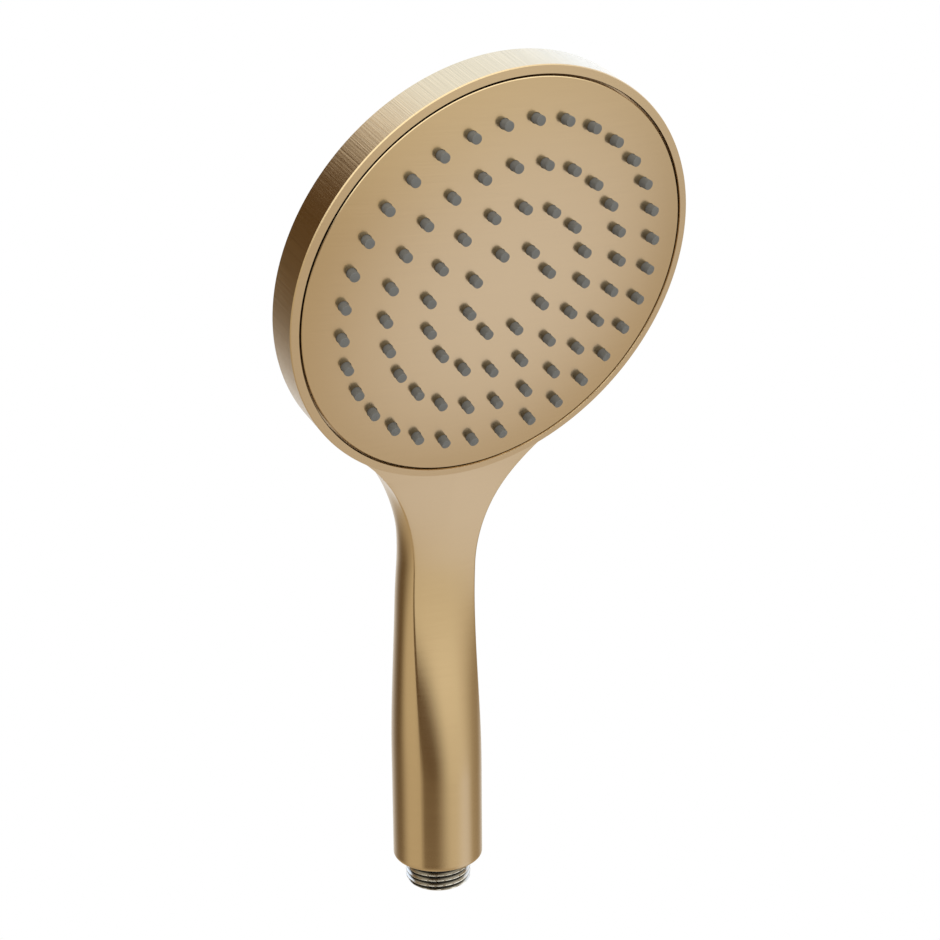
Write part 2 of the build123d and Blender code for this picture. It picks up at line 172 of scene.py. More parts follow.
class HandShowerSpray(bpy.types.PropertyGroup):
    """Sizes of the spray plate and the nozzle mat."""

    plate_gap: length("Plate gap", "Gap around the plate", 0.00055)
    plate_crown: length("Plate crown", "Rise of the plate's middle", 0.00505)
    plate_thickness: length("Plate thickness", "Thickness of the plate", 0.0018)
    plate_edge: length("Plate edge", "Broken edge of the plate", 0.00018)
    skirt_wall: length("Skirt wall", "Wall of the plate's skirt", 0.0018)
    first_radius: length("First ring", "Radius of the inner nozzle ring", 0.0132)
    ring_pitch: length("Ring pitch", "From one nozzle ring to the next", 0.0125)
    ring_count: IntProperty(name="Rings", description="Nozzle rings", default=4, min=1)
    first_count: IntProperty(name="First count", description="Nozzles in the inner ring", default=8, min=3)
    nozzle_diameter: length("Nozzle diameter", "Across a nozzle", 0.00295)
    nozzle_rise: length("Nozzle rise", "Height of a nozzle above the plate", 0.0026)
    nozzle_edge: length("Nozzle edge", "Rounding of a nozzle's end", 0.00018)
    hole_gap: length("Hole gap", "Room around a nozzle in the plate", 0.00012)
    mat_margin: length("Mat margin", "Outer nozzle ring to the mat's edge", 0.0034)
    mat_thickness: length("Mat thickness", "Thickness of the mat", 0.0012)
    sheet_gap: length("Sheet gap", "Room between the plate and the mat", 0.0001)


class HandShowerInlet(bpy.types.PropertyGroup):
    """Sizes of the threaded hose nipple."""

    thread_diameter: length("Thread diameter", "Across the thread's crests", 0.020955)
    thread_length: length("Thread length", "Grip's end to the nipple's end", THREAD_LENGTH)
    thread_pitch: length("Thread pitch", "From one turn to the next", 0.001814)
    thread_depth: length("Thread depth", "Crest to root", 0.00116)
    thread_relief: length("Thread relief", "Plain neck between the thread and the grip", 0.0012)
    end_chamfer: length("End chamfer", "Chamfer at the nipple's end", 0.0009)
    bore_diameter: length("Bore diameter", "Hole in the nipple", 0.0144)
    flange_diameter: length("Flange diameter", "Shoulder inside the grip", 0.0229)
    flange_length: length("Flange length", "Length of the part inside the grip", 0.016)


class HandShowerFinish(bpy.types.PropertyGroup):
    """Colours and roughness of the finishes."""

    brass: colour("Brass", "Brushed brass plating", (0.560, 0.430, 0.270))
    brass_roughness: factor("Brass roughness", "Mean roughness of the brushed brass", 0.24)
    plate_roughness: factor("Plate roughness", "Mean roughness of the spray plate", 0.22)
    silicone: colour("Silicone", "Nozzle mat", (0.090, 0.090, 0.091))
    plating: colour("Plating", "Hose nipple", (0.58, 0.57, 0.55))
    plastic: colour("Plastic", "Moulded pieces inside", (0.72, 0.72, 0.69))
    rubber: colour("Rubber", "Sealing rings", (0.018, 0.018, 0.019))
    steel: colour("Steel", "Cover screws", (0.50, 0.50, 0.51))


class HandShowerStudio(bpy.types.PropertyGroup):
    """Lights and cards that the metal mirrors."""

    backdrop: light("Backdrop", "White wall behind the part", (1.0, 1.0, 1.0))
    softbox: light("Softbox", "Large light above the camera", (2.0, 2.0, 1.8))
    right_light: light("Right light", "Warm light at the right", (0.97, 0.90, 0.72))
    left_light: light("Left light", "Warm light at the left", (0.83, 0.73, 0.53))
    dark_card: light("Dark card", "Dark card in front and at the back left", (0.13, 0.07, 0.02))
    dim_card: light("Dim card", "Dim card beside the dark one", (0.18, 0.12, 0.06))
    wing: light("Wing", "Grey card at the back right", (0.45, 0.36, 0.24))
    glow: light("Glow", "Cool light above the back", (1.4, 1.65, 2.0))
    fringe: light("Fringe", "Soft edge of the cool light", (1.3, 1.2, 1.05))
    ground: light("Ground", "Light from below", (0.68, 0.57, 0.40))
    pool: light("Pool", "Bright patch of the ground at the right", (1.05, 1.05, 1.10))


def ease(value, start, end):
    """Smooth step from 0 at start to 1 at end."""
    share = min(max((value - start) / (end - start), 0), 1)
    return share * share * (3 - 2 * share)


def mix(low, high, share):
    """Value between low and high."""
    return low + (high - low) * share


class Handle:
    """Rules that give the neck's sections, in metres."""

    def __init__(self, body):
        self.b = body
        self.tilt = body.face_tilt
        self.head_radius = body.head_diameter / 2
        self.grip_radius = body.grip_diameter / 2
        self.out = Vector((0, -cos(self.tilt), -sin(self.tilt)))
        self.up = Vector((0, -sin(self.tilt), cos(self.tilt)))
        reach = self.head_radius + body.flare_radius
        self.flare_start = sqrt(reach**2 - (body.scoop_half_width + body.flare_radius) ** 2)
        self.flare_end = self.flare_start * self.head_radius / reach
        self.crease_low = sqrt(self.grip_radius**2 - body.scoop_half_width**2)
        self.neck_length = body.bend_start + body.bend_radius * self.tilt
        neck_end = Vector((0, body.bend_radius * (cos(self.tilt) - 1), 0))
        neck_end.z = body.bend_start + body.bend_radius * sin(self.tilt)
        self.center = neck_end + self.out * body.neck_depth + self.up * self.head_radius

    def head_matrix(self):
        """Head frame: X across, Y up the face, Z out of it."""
        matrix = Matrix((Vector((1, 0, 0)), self.up, self.out)).transposed().to_4x4()
        matrix.translation = self.center
        return matrix

    def crease_width(self, along):
        """Half width of the flat front at a distance from the head's axis."""
        if along > self.flare_start:
            return self.b.scoop_half_width
        drop = sqrt(self.b.flare_radius**2 - (self.flare_start - along) ** 2)
        return self.b.scoop_half_width + self.b.flare_radius - drop

    def place(self, at, x, y):
        """Place of a section point at a length of the neck line."""
        turn = min(max(at - self.b.bend_start, 0) / self.b.bend_radius, self.tilt)
        z = min(at, self.b.bend_start) + self.b.bend_radius * sin(turn)
        origin = Vector((0, -self.b.bend_radius * (1 - cos(turn)), z))
        origin += self.up * max(at - self.neck_length, 0)
        return origin + Vector((x, y * cos(turn), y * sin(turn)))

    def section(self, at):
        """Crease, height, front, side, back and fullness of the section at a length."""
        b = self.b
        radius = mix(self.grip_radius, b.waist_diameter / 2, ease(at, b.taper_start, b.taper_end))
        to_rim = ease(at, b.taper_end, self.neck_length)
        crease = self.crease_width(self.neck_length + self.head_radius - at)
        side = crease + mix(radius - b.scoop_half_width, b.neck_swell, to_rim)
        height = mix(self.crease_low, b.scoop_front, ease(at, b.scoop_start, b.scoop_end))
        height = mix(height, b.neck_depth - b.neck_step, ease(at, b.scoop_end, self.neck_length))
        bulge = mix(self.grip_radius - self.crease_low, b.neck_bulge, ease(at, b.scoop_start, b.taper_end))
        back = mix(radius, b.neck_back, ease(at, b.bend_start, self.neck_length))
        fullness = mix(ROUND_FULLNESS, b.neck_fullness, to_rim**2)
        return crease, height, height + bulge, side, back, fullness

    def rear(self, at):
        """Back of the section from the widest point to the middle, sunk to a soft ridge at the rim."""
        side, back, fullness = self.section(at)[3:]
        sunk = ease(at, self.neck_length - SINK_LENGTH, self.neck_length)
        low = self.b.head_band - self.b.neck_depth
        spread = ease(at, self.neck_length - FADE_LENGTH, self.neck_length)
        wide = mix(side * BACK_SHARE, self.b.ridge_half_width, spread)
        points = []
        for step, (x, y) in enumerate(back_points(side, back, fullness, BACK_STEPS)):
            if step < WALL_END:
                across, rise = side, low * step / WALL_END
            elif step < SHELF_END:
                across, rise = mix(side, wide, (step - WALL_END) / (SHELF_END - WALL_END)), low
            else:
                across = wide * (BACK_STEPS - step) / RIDGE_HALF
                rise = mix(back, low, ease(across, 0, wide))
            points.append((mix(x, across, sunk), mix(y, rise, sunk)))
        return points


def arc_points(width, low, high, count):
    """Arc from (-width, low) over (0, high) to (width, low)."""
    rise = high - low
    radius = (width**2 + rise**2) / (2 * abs(rise))
    turn = atan2(width, radius - abs(rise))
    points = []
    for step in range(count + 1):
        angle = mix(-turn, turn, step / count)
        points.append((radius * sin(angle), high - (1 if rise > 0 else -1) * radius * (1 - cos(angle))))
    return points


def side_points(crease, height, side, count):
    """Arc from the crease to the widest point, upright at its end."""
    turn = atan2(side - crease, height)
    radius = height / sin(2 * turn)
    points = []
    for step in range(count + 1):
        angle = mix(2 * turn, 0, step / count)
        points.append((side - radius * (1 - cos(angle)), -radius * sin(angle)))
    return points


def back_points(side, back, fullness, count):
    """Rounded back from the widest point to the middle."""
    points = []
    for step in range(count + 1):
        t = step / count
        s = 1 - t
        x = side * (s**3 + 3 * s * s * t + 3 * s * t * t * ROUND_FULLNESS)
        y = back * (3 * s * s * t * fullness + 3 * s * t * t + t**3)
        points.append((x, y))
    return points


def mirrored(points):
    """The same points on the other side, in the opposite order."""
    return [(-x, y) for x, y in reversed(points)]


def point_at(points, distance):
    """Cuts a distance off the start of a row of points."""
    rest = list(points)
    while len(rest) > 2:
        step = Vector(rest[1]) - Vector(rest[0])
        if step.length > distance:
            break
        distance -= step.length
        rest.pop(0)
    start = Vector(rest[0]) + (Vector(rest[1]) - Vector(rest[0])).normalized() * distance
    return [tuple(start)] + rest[1:]


def section_ring(handle, at, round_off):
    """Closed ring of section points: front, right side, back, left side, with rounded creases."""
    crease, height, front, side = handle.section(at)[:4]
    half = [point for point in arc_points(crease, -height, -front, FRONT_FINE) if point[0] > -1e-9]
    corner = Vector(half[-1])
    inner = resampled(point_at(half[::-1], round_off), FRONT_STEPS)[::-1]
    outer = resampled(point_at(side_points(crease, height, side, SIDE_FINE), round_off), SIDE_STEPS)
    first, last = Vector(inner[-1]), Vector(outer[0])
    bend = []
    for step in range(1, CREASE_STEPS):
        t = step / CREASE_STEPS
        bend.append(tuple(first * (1 - t) ** 2 + corner * 2 * t * (1 - t) + last * t * t))
    right = inner + bend + outer + handle.rear(at)[1:]
    return right + mirrored(right)[1:]


def resampled(points, count):
    """Row of points spread evenly along another row."""
    marks = [0.0]
    for one, two in zip(points, points[1:]):
        marks.append(marks[-1] + (Vector(two) - Vector(one)).length)
    result = []
    place = 0
    for step in range(count + 1):
        goal = marks[-1] * step / count
        while place < len(points) - 2 and marks[place + 1] < goal:
            place += 1
        share = (goal - marks[place]) / max(marks[place + 1] - marks[place], 1e-12)
        result.append(tuple(Vector(points[place]).lerp(Vector(points[place + 1]), min(share, 1.0))))
    return result


class Skin:
    """Collects patches of points with their brush directions, and makes one mesh of them.

    A corner is a point with its brush pair: its place across the hair lines, and along them.
    """

    def __init__(self):
        self.points = []
        self.faces = []
        self.brush = []
        self.finish = 0
        self.finishes = []

    def flat(self, corners, faces, flip=False):
        """Adds faces over a list of corners."""
        start = len(self.points)
        self.points.extend(point for point, pair in corners)
        for face in faces:
            order = list(reversed(face)) if flip else list(face)
            self.faces.append([start + k for k in order])
            self.finishes.append(self.finish)
            self.brush.extend(corners[k][1] for k in order)

    def grid(self, rows, flip=False):
        """Adds a grid of corners."""
        width = len(rows[0])
        starts = [i * width + j for i in range(len(rows) - 1) for j in range(width - 1)]
        quads = [[k, k + 1, k + width + 1, k + width] for k in starts]
        self.flat([corner for row in rows for corner in row], quads, flip)

    def lathe(self, profile, matrix, count, across_face=False):
        """Turns a profile of (radius, height) about the matrix's Z axis; the outside is on its left."""
        for first, last in zip(profile, profile[1:]):
            on_side = abs(last[0] - first[0]) < abs(last[1] - first[1]) and not across_face
            widest = max(first[0], last[0])
            rows = []
            for r, h in (first, last):
                row = []
                for step in range(count + 1):
                    angle = 2 * pi * step / count
                    x, y = r * cos(angle), r * sin(angle)
                    row.append((matrix @ Vector((x, y, h)), (angle * widest, h) if on_side else (y, x)))
                rows.append(row)
            self.finish = int(on_side)
            self.grid(rows, flip=True)
            self.finish = 0

    def make(self, name, material, sharp=radians(21), side_material=None):
        """Object with the patches welded, smooth between edges that are sharp."""
        mesh = bpy.data.meshes.new(name)
        mesh.from_pydata(self.points, [], self.faces)
        layer = mesh.uv_layers.new(name="brush")
        layer.data.foreach_set("uv", [value for pair in self.brush for value in pair])
        if side_material:
            mesh.polygons.foreach_set("material_index", self.finishes)
        work = bmesh.new()
        work.from_mesh(mesh)
        bmesh.ops.remove_doubles(work, verts=work.verts, dist=1e-6)
        bmesh.ops.dissolve_degenerate(work, edges=work.edges, dist=1e-8)
        work.to_mesh(mesh)
        work.free()
        mesh.shade_smooth()
        mesh.set_sharp_from_angle(angle=sharp)
        mesh.materials.append(material)
        if side_material:
            mesh.materials.append(side_material)
        piece = bpy.data.objects.new(name, mesh)
        bpy.context.scene.collection.objects.link(piece)
        return piece


def corner_arc(center, radius, start, end, count):
    """Rounded corner in a profile, between two angles in degrees."""
    points = []
    for step in range(count + 1):
        angle = radians(mix(start, end, step / count))
        points.append((center[0] + radius * cos(angle), center[1] + radius * sin(angle)))
    return points


def bare_tree(block):
    """Empty node tree of a material or a world."""
    block.use_nodes = True
    block.node_tree.nodes.clear()
    return block.node_tree


def feed(tree, node, sockets):
    """Sets inputs, by name or number, to values or to the outputs of other nodes."""
    for key, value in sockets.items():
        if isinstance(value, bpy.types.NodeSocket):
            tree.links.new(value, node.inputs[key])
        elif value is not None:
            node.inputs[key].default_value = value


def add(tree, kind, *inputs, **values):
    """Adds a node; inputs are given in order, or by name with _ for spaces, beside its properties."""
    row, column = divmod(len(tree.nodes), NODES_IN_ROW)
    node = tree.nodes.new(kind)
    node.location = (NODE_WIDTH * column, -NODE_HEIGHT * row)
    sockets = dict(enumerate(inputs))
    for key, value in values.items():
        if hasattr(node, key):
            setattr(node, key, value)
        else:
            sockets[key.replace("_", " ")] = value
    feed(tree, node, sockets)
    return node


def calculate(tree, operation, *inputs):
    """Result of a sum or product of values."""
    return add(tree, "ShaderNodeMath", *inputs, operation=operation).outputs[0]


def ramp(tree, source, **ends):
    """Maps a value from one range onto another; each is 0 to 1 unless its ends are given."""
    return add(tree, "ShaderNodeMapRange", Value=source, **ends).outputs["Result"]


def soft_step(tree, source, start, end):
    """Smooth step of a value from 0 at start to 1 at end."""
    return ramp(tree, source, From_Min=start, From_Max=end, interpolation_type="SMOOTHSTEP")


def noise(tree, way, scale, detail, roughness):
    """Noise over a direction or a place."""
    node = add(tree, "ShaderNodeTexNoise", Vector=way, Scale=scale, Detail=detail, Roughness=roughness)
    return node.outputs["Fac"]


def blend(tree, share, first, second):
    """Colour between two colours; each is a colour or comes from a node."""
    node = add(tree, "ShaderNodeMix", share, data_type="RGBA")
    ends = [number for number, socket in enumerate(node.inputs) if socket.type == "RGBA"]
    for end, value in zip(ends, (first, second)):
        feed(tree, node, {end: value if isinstance(value, bpy.types.NodeSocket) else (*value, 1)})
    return next(socket for socket in node.outputs if socket.type == "RGBA")


def shades(base, amount):
    """A darker and a lighter shade of a colour."""
    return [value * (1 - amount) for value in base], [min(value * (1 + amount), 1) for value in base]


def new_material(name):
    """Node material with its output and a Principled shader."""
    material = bpy.data.materials.new(name)
    tree = bare_tree(material)
    shader = add(tree, "ShaderNodeBsdfPrincipled")
    add(tree, "ShaderNodeOutputMaterial", Surface=shader.outputs["BSDF"])
    return material, tree, shader


def brushed_brass(name, finish, roughness, grain, pitch, depth):
    """Brushed plating: hair lines along the brush, pitch to the metre, and a soft cloud."""
    material, tree, shader = new_material(name)
    lines = add(tree, "ShaderNodeUVMap", uv_map="brush").outputs["UV"]
    fine = add(tree, "ShaderNodeMapping", Vector=lines, Scale=(pitch * 3, pitch / 60, 1))
    fine = noise(tree, fine.outputs["Vector"], 1.0, 2.0, 0.6)
    broad = add(tree, "ShaderNodeMapping", Vector=lines, Scale=(pitch, pitch / 150, 1))
    broad = noise(tree, broad.outputs["Vector"], 1.0, 4.0, 0.65)
    place = add(tree, "ShaderNodeTexCoord").outputs["Object"]
    cloud = noise(tree, place, 22.0, 3.0, 0.5)
    streak = add(tree, "ShaderNodeMix", 0.45, None, fine, broad, data_type="FLOAT").outputs[0]
    stretched = ramp(tree, streak, From_Min=0.3, From_Max=0.7)
    spread = ramp(tree, streak, To_Min=roughness - 0.07, To_Max=roughness + 0.07)
    uneven = ramp(tree, cloud, To_Min=-0.03, To_Max=0.03)
    bump = add(tree, "ShaderNodeBump", Strength=0.5, Distance=depth, Height=broad)
    tangent = add(tree, "ShaderNodeTangent", direction_type="UV_MAP", uv_map="brush")
    feed(tree, shader, {
        "Base Color": blend(tree, stretched, *shades(finish.brass, grain)),
        "Roughness": calculate(tree, "ADD", spread, uneven),
        "Normal": bump.outputs["Normal"],
        "Tangent": tangent.outputs["Tangent"],
        "Metallic": 1.0,
        "Anisotropic": 0.35,
    })
    return material


def grained(name, base, amount, roughness, spread, scale, metallic=0.0):
    """Plain finish with the small unevenness of a moulded, cast or turned surface."""
    material, tree, shader = new_material(name)
    place = add(tree, "ShaderNodeTexCoord").outputs["Object"]
    grain = noise(tree, place, scale, 4.0, 0.6)
    cloud = noise(tree, place, scale / 12, 2.0, 0.5)
    bump = add(tree, "ShaderNodeBump", Strength=0.2, Distance=0.00004, Height=grain)
    feed(tree, shader, {
        "Base Color": blend(tree, cloud, *shades(base, amount)),
        "Roughness": ramp(tree, grain, To_Min=roughness - spread, To_Max=roughness + spread),
        "Normal": bump.outputs["Normal"],
        "Metallic": metallic,
    })
    return material


def dress(piece, node):
    """Sets a piece in place of its solid, on the one body."""
    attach(piece, "root")
    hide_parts(node)


def dome_height(spray, plate_radius, radius, below):
    """Height above the rim of a dome that lies below the plate's outer face."""
    return spray.plate_crown * (1 - (radius / plate_radius) ** 2) - below


def plate_radius_of(settings):
    """Radius of the spray plate."""
    body = settings.hand_shower_body
    return body.head_diameter / 2 - body.head_wall - settings.hand_shower_spray.plate_gap


def nozzle_spots(spray):
    """Places of the nozzles in the head frame; every second ring has one in line with the grip."""
    spots = []
    for ring in range(spray.ring_count):
        count = spray.first_count * (ring + 1)
        radius = spray.first_radius + spray.ring_pitch * ring
        for step in range(count):
            angle = 2 * pi * (step + 0.5 * ((ring + 1) % 2)) / count
            spots.append((radius * cos(angle), radius * sin(angle)))
    return spots


class HANDSHOWER_OT_body(bpy.types.Operator):
    """Build the head, neck and grip as one brushed body"""

    bl_idname = "hand_shower.body"
    bl_label = "Body"

    def execute(self, context):
        body = context.scene.hand_shower_body
        handle = Handle(body)
        skin = Skin()
        self.head(body, handle, skin)
        self.webs(body, handle, skin)
        self.neck(body, handle, skin)
        self.ridge(body, handle, skin)
        finish = context.scene.hand_shower_finish
        plain = brushed_brass("Brushed brass", finish, finish.brass_roughness, 0.035, 3000, 0.000003)
        streaked = brushed_brass("Streaked brass", finish, finish.brass_roughness, 0.22, 1700, 0.00018)
        dress(skin.make("body", plain, side_material=streaked), "body_shell")
        return {"FINISHED"}

    def head(self, body, handle, skin):
        """Round head: inner wall, rim, side and crowned back."""
        radius = handle.head_radius
        inner = radius - body.head_wall
        ledge = inner - body.ledge_width
        crown = radius - body.back_edge
        edge = body.rim_round
        profile = [(ledge, -body.ledge_depth - HIDDEN_WALL), (ledge, -body.ledge_depth)]
        profile += [(inner, -body.ledge_depth)]
        profile += [(inner, -edge), (inner + edge / 2, 0)]
        profile += [(radius - edge / 2, -body.rim_slope), (radius, -body.rim_slope - edge)]
        profile += [(radius, -body.head_band + edge), (radius - edge, -body.head_band)]
        for step in range(CROWN_STEPS + 1):
            r = crown * (1 - step / CROWN_STEPS)
            profile.append((r, -body.head_band - body.head_crown * (1 - (r / crown) ** 2)))
        skin.lathe(profile, handle.head_matrix(), HEAD_AROUND)

    def webs(self, body, handle, skin):
        """Two webs that lead the neck's sides into the head: walls, broken edges, backs and fronts."""
        matrix = handle.head_matrix()
        top, low = -body.neck_step, -body.head_band
        reach = handle.head_radius - body.rim_round
        shares = [step / FLARE_STEPS for step in range(FLARE_STEPS + 1)]
        stations = [mix(handle.head_radius, handle.flare_end, share) for share in shares]

        def on_wall(point):
            return matrix @ Vector(point), (-point[1], point[2])

        def across(point):
            return matrix @ Vector(point), (point[1], point[0])

        for turn in (1, -1):
            flare = Vector((turn * (body.scoop_half_width + body.flare_radius), -handle.flare_start))
            walls, slants, backs = [], [], []
            for along in stations:
                edge = Vector((turn * handle.crease_width(along), -along))
                broken = body.rim_round * ease(along, handle.head_radius, handle.flare_end)
                inset = edge + (edge - flare).normalized() * broken
                inner = turn * sqrt(max(reach**2 - along**2, 0))
                walls.append([on_wall((*edge, top)), on_wall((*edge, low + broken))])
                slants.append([across((*edge, low + broken)), across((*inset, low))])
                backs.append([across((inner, -along, low)), across((*inset, low))])
            skin.finish = 1
            skin.grid(walls, turn > 0)
            skin.finish = 0
            skin.grid(slants, turn > 0)
            skin.grid(backs, turn < 0)
            self.lip(handle, skin, stations, turn)

    def lip(self, handle, skin, stations, turn):
        """Runs the neck's front on beside the rim until its crease meets the round head."""
        height, front = handle.section(handle.neck_length)[1:3]
        rise = front - height
        rows = []
        for along in stations:
            at = handle.neck_length + handle.head_radius - along
            width = handle.crease_width(along)
            start = max(sqrt(max(handle.head_radius**2 - along**2, 0)) - LIP_OVERLAP, 0)
            bend = (width**2 + rise**2) / (2 * rise)
            row = []
            for step in range(LIP_STEPS + 1):
                x = mix(start, width, step / LIP_STEPS)
                y = -front + bend - sqrt(bend**2 - x * x)
                row.append((handle.place(at, turn * x, y), (at, turn * x)))
            rows.append(row)
        skin.grid(rows, flip=turn < 0)

    def neck(self, body, handle, skin):
        """Grip and neck, from the socket in the grip's lower end to the rim."""
        edge = body.grip_edge
        base = section_ring(handle, 0, body.crease_round)
        rows = []

        def add_ring(ring, at, shrink=1.0):
            row, around = [], 0
            for x, y in ring:
                point = handle.place(at, x * shrink, y * shrink)
                around += (point - row[-1][0]).length if row else 0
                row.append((point, (at, around)))
            rows.append(row)

        socket = body.socket_diameter / body.grip_diameter
        add_ring(base, HIDDEN_BORE, socket)
        add_ring(base, 0, socket)
        for step in range(EDGE_STEPS):
            angle = pi / 2 * step / EDGE_STEPS
            inset = edge * (1 - sin(angle)) / handle.grip_radius
            add_ring(base, edge * (1 - cos(angle)), 1 - inset)
        for step in range(NECK_STEPS + 1):
            at = mix(edge, handle.neck_length, step / NECK_STEPS)
            sharpened = ease(at, handle.neck_length - FADE_LENGTH, handle.neck_length)
            add_ring(section_ring(handle, at, mix(body.crease_round, SHARP_CREASE, sharpened)), at)
        skin.grid(rows)

    def ridge(self, body, handle, skin):
        """Soft ridge that runs from the neck over the head's back and sinks into its crown."""
        low = body.head_band - body.neck_depth
        crown = handle.head_radius - body.back_edge
        rows = []
        for step in range(FLARE_STEPS + 1):
            share = step / FLARE_STEPS
            along = mix(handle.head_radius, body.ridge_tip, share)
            at = handle.neck_length + handle.head_radius - along
            wide = mix(body.ridge_half_width, body.tip_half_width, ease(share, 0, 1))
            top = mix(body.neck_back, body.tip_back, share)
            proud = max(top - low - body.head_crown * max(1 - (along / crown) ** 2, 0), 0)
            sunk = min(step / RIDGE_SINK_STEPS, 1) * RIDGE_SINK
            row = []
            for k in range(2 * RIDGE_HALF + 1):
                x = wide * (1 - k / RIDGE_HALF)
                base = low + body.head_crown * max(1 - (x * x + along**2) / crown**2, 0)
                y = base + proud * (1 - ease(abs(x), 0, wide)) - sunk
                row.append((handle.place(at, x, y), (at, x)))
            rows.append(row)
        skin.grid(rows)


class HANDSHOWER_OT_spray_plate(bpy.types.Operator):
    """Build the domed spray plate with its holes"""

    bl_idname = "hand_shower.spray_plate"
    bl_label = "Spray plate"

    def execute(self, context):
        spray = context.scene.hand_shower_spray
        body = context.scene.hand_shower_body
        matrix = Handle(body).head_matrix()
        outer = plate_radius_of(context.scene)
        face = outer - spray.plate_edge
        hole = spray.nozzle_diameter / 2 + spray.hole_gap
        outline, edges, holes = [], [], []

        def loop(x, y, radius, count):
            start = len(outline)
            for step in range(count):
                angle = 2 * pi * step / count
                outline.append(Vector((x + radius * cos(angle), y + radius * sin(angle))))
            edges.extend((start + k, start + (k + 1) % count) for k in range(count))
            return list(range(start, start + count))

        def on_dome(point, below):
            return matrix @ Vector((point.x, point.y, dome_height(spray, outer, point.length, below)))

        loop(0, 0, face, HEAD_AROUND)
        for x, y in nozzle_spots(spray):
            holes.append(loop(x, y, hole, HOLE_SIDES))
        self.fill(outline, spray, face, hole)
        points, _, triangles, given, _, _ = delaunay_2d_cdt(outline, edges, [], 0, 1e-9)
        owner = {corner: number for number, ring in enumerate(holes) for corner in ring}
        loops = [owner.get(corners[0], -1) if corners else -1 for corners in given]
        kept = [list(t) for t in triangles if len({loops[k] for k in t}) > 1 or loops[t[0]] < 0]
        skin = Skin()
        for below, flip in ((0, False), (spray.plate_thickness, True)):
            skin.flat([(on_dome(p, below), (p.y, p.x)) for p in points], kept, flip)
        for ring in holes:
            closed = [outline[k] for k in ring + ring[:1]]
            levels = (0, spray.plate_thickness)
            skin.grid([[(on_dome(p, below), (below, p.x)) for p in closed] for below in levels], flip=True)
        skirt = outer - spray.skirt_wall
        profile = [(face, dome_height(spray, outer, face, 0)), (outer, -spray.plate_edge)]
        profile += [(outer, -body.ledge_depth), (skirt, -body.ledge_depth)]
        profile += [(skirt, dome_height(spray, outer, skirt, spray.plate_thickness))]
        skin.lathe(profile, matrix, HEAD_AROUND)
        finish = context.scene.hand_shower_finish
        material = brushed_brass("Brushed brass plate", finish, finish.plate_roughness, 0.04, 3000, 0.000003)
        dress(skin.make("plate", material), "spray_plate")
        return {"FINISHED"}

    def fill(self, outline, spray, face, hole):
        """Adds points between the holes so that the dome stays smooth."""
        spots = [Vector(spot) for spot in nozzle_spots(spray)]
        clear = hole * 1.35
        rings = 20
        for ring in range(1, rings):
            radius = face * ring / rings
            count = max(12, 6 * ring)
            for step in range(count):
                angle = 2 * pi * (step + 0.5 * (ring % 2)) / count
                point = Vector((radius * cos(angle), radius * sin(angle)))
                if all((point - spot).length > clear for spot in spots):
                    outline.append(point)
        outline.append(Vector((0, 0)))


